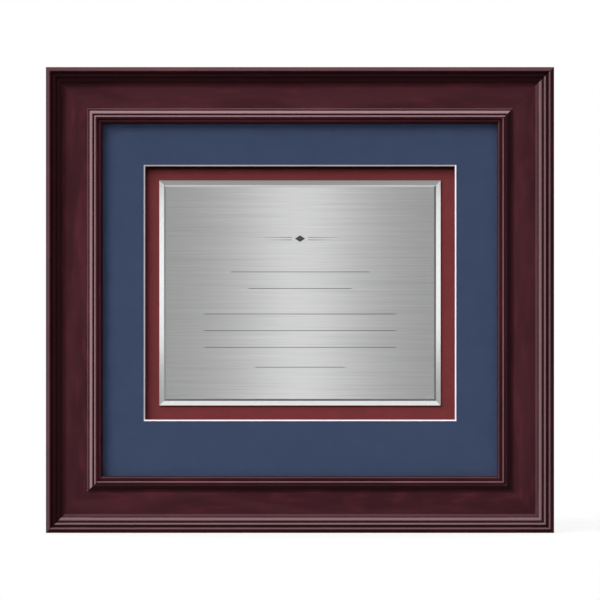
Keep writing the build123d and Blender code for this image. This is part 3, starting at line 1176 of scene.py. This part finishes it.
# Round the pivot end and the tip, drawn in by inset; the finger points along the first axis
def buttonOutline(inset):
    size = buttonShape
    centre = size["reach"] - size["tipRadius"]
    touch = math.acos((size["pivotRadius"] - size["tipRadius"]) / centre)
    count, sides = size["arcPoints"], size["sidePoints"]
    points = []
    for start, sweep, middle, radius in (
        (touch, math.tau - 2 * touch, 0.0, size["pivotRadius"] - inset),
        (-touch, 2 * touch, centre, size["tipRadius"] - inset),
    ):
        for i in range(count):
            angle = start + sweep * i / (count - 1)
            points.append(Vector((middle + radius * math.cos(angle), radius * math.sin(angle))))
    outline = []
    for arc in (0, count):
        outline += points[arc:arc + count]
        last, following = points[arc + count - 1], points[(arc + count) % (2 * count)]
        outline += [last.lerp(following, i / sides) for i in range(1, sides)]
    return outline


def bentUp(along):  # rise of the finger, rounded over the bend
    size = buttonShape
    past = along - size["bend"] + size["bendLong"] / 2
    if past <= 0:
        return 0.0
    if past < size["bendLong"]:
        return size["bendSlope"] * past**2 / (2 * size["bendLong"])
    return size["bendSlope"] * (along - size["bend"])


def stampedButton(name, x, z):
    size = buttonShape
    low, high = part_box(name)
    aim = Vector(((low.x + high.x) / 2 - x, (low.z + high.z) / 2 - z)).normalized()
    hole = [spot.normalized() * size["hole"] for spot in buttonOutline(0.0)]
    burr, rolled = size["burr"], size["rolled"]
    levels = [(hole, 0.0), (buttonOutline(burr), 0.0), (buttonOutline(0.0), burr)]
    for step in range(size["rollSteps"] + 1):
        angle = math.radians(90 * step / size["rollSteps"])
        inset = rolled * (1 - math.cos(angle))
        levels.append((buttonOutline(inset), size["thick"] - rolled * (1 - math.sin(angle))))
    levels.append((hole, size["thick"]))
    shape = bmesh.new()
    loops = [[shape.verts.new((u, y, w)) for u, w in outline] for outline, y in levels]
    joinLoops(shape, loops, "joined")
    for i in range(size["bendCuts"] + 1):
        cut = size["bend"] + size["bendLong"] * (i / size["bendCuts"] - 0.5)
        everything = shape.verts[:] + shape.edges[:] + shape.faces[:]
        bmesh.ops.bisect_plane(shape, geom=everything, plane_co=(cut, 0, 0), plane_no=(1, 0, 0))
    for vert in shape.verts:
        u, y, w = vert.co
        vert.co = (x + u * aim.x - w * aim.y, size["gap"] + y + bentUp(u), z + u * aim.y + w * aim.x)
    return newPiece(name + "_stamping", shape, [steel["button_steel"]], [name], body=name,
                    sharp=size["sharp"])


strapShape = {
    "wide": 11.0 * mm,
    "thick": 2.0 * mm,  # both plies
    "seam": 0.07 * mm,  # between the plies
    "barHeight": 2.3 * mm,  # middle of the ring's bar over the wood
    "long": 34.0 * mm,  # bar to the strap's end
    "endRound": 4.5 * mm,
    "endSteps": 10,
    "loopTurn": math.radians(235),
    "turnStep": math.radians(9),
    "neckRadius": 1.2 * mm,  # where the loop turns back onto the strap
    "neckSteps": 6,
    "edge": 0.16 * mm,  # rounding of the long edges
    "edgeMiddle": 0.3,  # share of it, halfway round
    "endThin": 0.6,  # share of it that the ends are thinner by
    "sharp": 50.0,  # degrees
}


def strapEnd():  # half widths, and distances from the rounded end
    size = strapShape
    radius = size["endRound"]
    flat = size["wide"] / 2 - radius
    stations = []
    for i in range(size["endSteps"] + 1):
        angle = math.radians(90 * i / size["endSteps"])
        stations.append((flat + radius * math.sin(angle), radius * (1 - math.cos(angle))))
    return stations


# Half width, then y and z of the strip's middle, from the wood round the bar and back
def strapStations(ply):
    size = strapShape
    under = ply / 2
    over = size["thick"] - ply / 2
    half = size["wide"] / 2
    radius = size["barHeight"] - under
    stations = [(wide, under, rise - size["long"]) for wide, rise in strapEnd()]
    count = round(size["loopTurn"] / size["turnStep"])
    for i in range(count + 1):
        angle = size["loopTurn"] * i / count
        stations.append((half, size["barHeight"] - radius * math.cos(angle), radius * math.sin(angle)))
    heading = size["loopTurn"] - math.pi
    neck = size["neckRadius"]
    y, z = stations[-1][1:]
    run = (y - over - neck * (1 - math.cos(heading))) / math.sin(heading)
    z -= run * math.cos(heading)
    for i in range(size["neckSteps"] + 1):
        angle = heading * (1 - i / size["neckSteps"])
        drop = math.sin(heading) - math.sin(angle)
        stations.append((half, over + neck * (1 - math.cos(angle)), z - neck * drop))
    stations += [(wide, over, rise - size["long"]) for wide, rise in reversed(strapEnd())]
    return stations


def foldedStrap(name, x, z):
    size = strapShape
    ply = (size["thick"] - size["seam"]) / 2
    edge = size["edge"]
    middle = edge * size["edgeMiddle"]
    stations = strapStations(ply)
    final = len(stations) - 1
    shape = bmesh.new()
    loops = []
    for i, (half, y, rise) in enumerate(stations):
        before, after = stations[max(i - 1, 0)], stations[min(i + 1, final)]
        along = Vector((after[1] - before[1], after[2] - before[2])).normalized()
        thick = ply / 2
        if i in (0, final):
            thick -= edge * size["endThin"]
        quarter = [(half - edge, thick), (half - middle, thick - middle), (half, thick - edge)]
        ring = quarter + [(u, -w) for u, w in reversed(quarter)]
        ring += [(-u, -w) for u, w in quarter] + [(-u, w) for u, w in reversed(quarter)]
        loops.append([shape.verts.new((x + u, y + w * along.y, z + rise - w * along.x)) for u, w in ring])
    joinLoops(shape, loops)
    return newPiece(name + "_folded", shape, [steel["hanger_steel"]], [name],
                    sharp=size["sharp"])


for name, spot in buttonSpots.items():
    stampedButton(name, *spot)
rubber = bumperRubber()
for side in ("left", "right"):
    foldedStrap(side + "_hanger_strap", *ringSpots[side + "_d_ring"])
    dress(side + "_d_ring", steel["ring_steel"])
    dress(side + "_wall_bumper", rubber)
print("hardware done:", len(buttonSpots) + len(hangerSpots), "screws")


# Studio: white backdrop, pale floor, soft key from the upper left, narrow cards for the metal
studio = {
    "backLevel": 0.85,
    "roomLevel": 0.05,
    "skyLevel": 0.36,
    "backLimits": (-0.02, 0.14),  # of a direction's y, where the room turns into the backdrop
    "skyLimits": (0.0, 0.75),  # of a direction's z
    "keys": (  # place, width, height, level, shape, seen in gloss
        ((-3.4, -3.6, 3.4), 3.0, 3.0, 10.9, "DISK", True),
        ((-1.0, -5.0, 1.0), 4.0, 4.0, 1.6, "DISK", False),
        ((3.2, -3.2, -3.2), 4.0, 4.0, 1.6, "DISK", False),
        # these two draw the lines along the rails
        ((-4.83, -1.29, 0.0), 10.0, 1.4, 3.7, "RECTANGLE", True),
        ((0.0, -1.29, 4.83), 1.4, 10.0, 3.9, "RECTANGLE", True),
    ),
    "cards": (  # place, width, height, level; they light the plate only
        ((-0.53, -1.0, 0.0), 0.14, 0.42, 0.45),
        ((0.53, -1.0, 0.0), 0.14, 0.42, 0.45),
        ((-0.53, -1.0, 0.03), 0.14, 0.18, 0.8),
        ((0.53, -1.0, 0.03), 0.14, 0.18, 0.8),
        ((0.0, -1.0, 0.5), 0.5, 0.14, 0.16),
        ((0.0, -1.0, -0.5), 0.5, 0.14, 1.05),
        ((-1.02, -0.64, 0.0), 0.3, 0.42, 0.65),
        ((1.02, -0.64, 0.0), 0.3, 0.42, 0.22),
        ((0.0, -0.64, 1.02), 0.5, 0.3, 0.95),
        ((0.0, -0.64, -1.02), 0.5, 0.3, 0.2),
        # these four brighten the plate seen from the sides
        ((-1.25, -0.75, -0.75), 1.1, 0.8, 1.1),
        ((1.25, -0.75, -0.75), 1.1, 0.8, 1.1),
        ((-0.72, -0.95, -0.85), 0.5, 0.7, 1.1),
        ((0.72, -0.95, -0.85), 0.5, 0.7, 1.1),
    ),
    "fieldCards": (  # for the brushed field only: the band down its middle, and the level beside it
        ((0.0, -1.0, 0.0), 0.05, 1.2, 2.4),
        ((0.0, -1.0, 0.0), 0.8, 1.2, 0.31),
    ),
    "platePieces": ("polished_base_plate", "brushed_field_plate"),
    "borderKey": ((-3.6, -1.6, 4.8), 10.0, 10.0, 7.8),  # wider and lower, for the deep red border only
    "borderPieces": ("red_mount_board",),
    "floorReach": 0.75,
    "floorSides": 64,
    "floorFade": (0.3, 0.735),  # metres from the middle
    "floorClear": 0.7,  # share of the floor that shows the backdrop through it
    "floorColour": ink(236, 236, 236),
    "floorRoughness": 0.9,
    "floorGrain": grainOf(200, 200, 200),
}


def studioWorld():
    look = studio
    world = bpy.data.worlds.new("studio")
    scene.world = world
    finish = Finish(world)
    toward = finish.split(finish.node("ShaderNodeTexCoord", output="Generated"))
    ray = finish.node("ShaderNodeLightPath", output="Is Camera Ray")
    behind = finish.rise(toward.also("Y"), *look["backLimits"])
    above = finish.rise(toward.also("Z"), *look["skyLimits"])
    room = look["roomLevel"] + above * look["skyLevel"]
    lit = room + (look["backLevel"] - room) * behind
    mirrored = (ray.also("Is Glossy Ray") + ray.also("Is Transmission Ray")) * behind
    seen = finish.node("ShaderNodeMath", {"operation": "MINIMUM"}, {0: ray + mirrored, 1: 1.0})
    glow = finish.node("ShaderNodeBackground", {}, {"Color": white, "Strength": lit + (1 - lit) * seen})
    finish.node("ShaderNodeOutputWorld", {}, {"Surface": glow})


# An area lamp turned to the origin; level is what a mirror shows, and state says what pieces it reaches
def softLamp(name, lamp, pieces, shape="RECTANGLE", state="INCLUDE", inGloss=True):
    place, wide, high, level = lamp
    light = bpy.data.lights.new(name, "AREA")
    light.shape = shape
    light.size = wide
    light.size_y = high
    light.energy = level * math.pi * wide * high * (math.pi / 4 if shape == "DISK" else 1.0)
    holder = bpy.data.objects.new(name, light)
    holder.location = place
    holder.rotation_euler = (-Vector(place)).to_track_quat("-Z", "Y").to_euler()
    holder.visible_camera = False
    holder.visible_glossy = inGloss
    scene.collection.objects.link(holder)
    reach = bpy.data.collections.new(name + "_reach")
    for piece in pieces:
        reach.objects.link(nodes[piece] if piece in nodes else bpy.data.objects[piece])
    for entry in reach.collection_objects:
        entry.light_linking.link_state = state
    holder.light_linking.receiver_collection = reach


def floorPaint():  # fades out to the backdrop
    look = studio
    finish = newFinish("pale_floor")
    x = finish.split(finish.place())
    reach = (x * x + x.also("Y") * x.also("Y")) ** 0.5
    grain = finish.noise(finish.place(), look["floorGrain"])
    fade = look["floorClear"] + (1 - look["floorClear"]) * finish.rise(reach, *look["floorFade"])
    paint = finish.shell({
        "Base Color": finish.dim(look["floorColour"], 0.98 + grain * 0.04),
        "Roughness": look["floorRoughness"],
    })
    return finish.coverMixed(fade, paint, finish.clear())


def paleFloor():
    shape = bmesh.new()
    sides, reach = studio["floorSides"], studio["floorReach"]
    bmesh.ops.create_circle(shape, cap_ends=True, segments=sides, radius=reach)
    mesh = bpy.data.meshes.new("floor")
    shape.to_mesh(mesh)
    shape.free()
    mesh.materials.append(floorPaint())
    floor = bpy.data.objects.new("floor", mesh)
    floor.location.z = cadBox[0].z
    floor.visible_glossy = False  # the room below the lens stays dark in the lacquer
    floor.visible_diffuse = False
    floor.visible_shadow = False
    scene.collection.objects.link(floor)


studioWorld()
paleFloor()
withLampsOfTheirOwn = studio["platePieces"] + studio["borderPieces"]
for index, (*lamp, shape, inGloss) in enumerate(studio["keys"]):
    softLamp("key" + str(index), lamp, withLampsOfTheirOwn, shape, "EXCLUDE", inGloss)
softLamp("borderKey", studio["borderKey"], studio["borderPieces"], "DISK")
for index, card in enumerate(studio["cards"]):
    softLamp("card" + str(index), card, studio["platePieces"])
for index, card in enumerate(studio["fieldCards"]):
    softLamp("fieldCard" + str(index), card, studio["platePieces"][1:])
print("studio set")


# Camera: straight on, long lens, as the photograph is framed
lens = {
    "length": 400.0,
    "sensor": 36.0,
    "imageWide": 600,  # pixels
    "objectWide": 508.4,  # pixels
    "farClip": 50.0,
}
camera = bpy.data.objects.new("camera", bpy.data.cameras.new("camera"))
camera.data.lens = lens["length"]
camera.data.sensor_width = lens["sensor"]
viewWide = 2 * halfWide * lens["imageWide"] / lens["objectWide"]
camera.location = (0.0, cadBox[0].y - viewWide * lens["length"] / lens["sensor"], 0.0)
camera.rotation_euler = (math.radians(90), 0.0, 0.0)
camera.data.clip_end = lens["farClip"]
scene.collection.objects.link(camera)
scene.camera = camera

scene.view_settings.view_transform = "Standard"
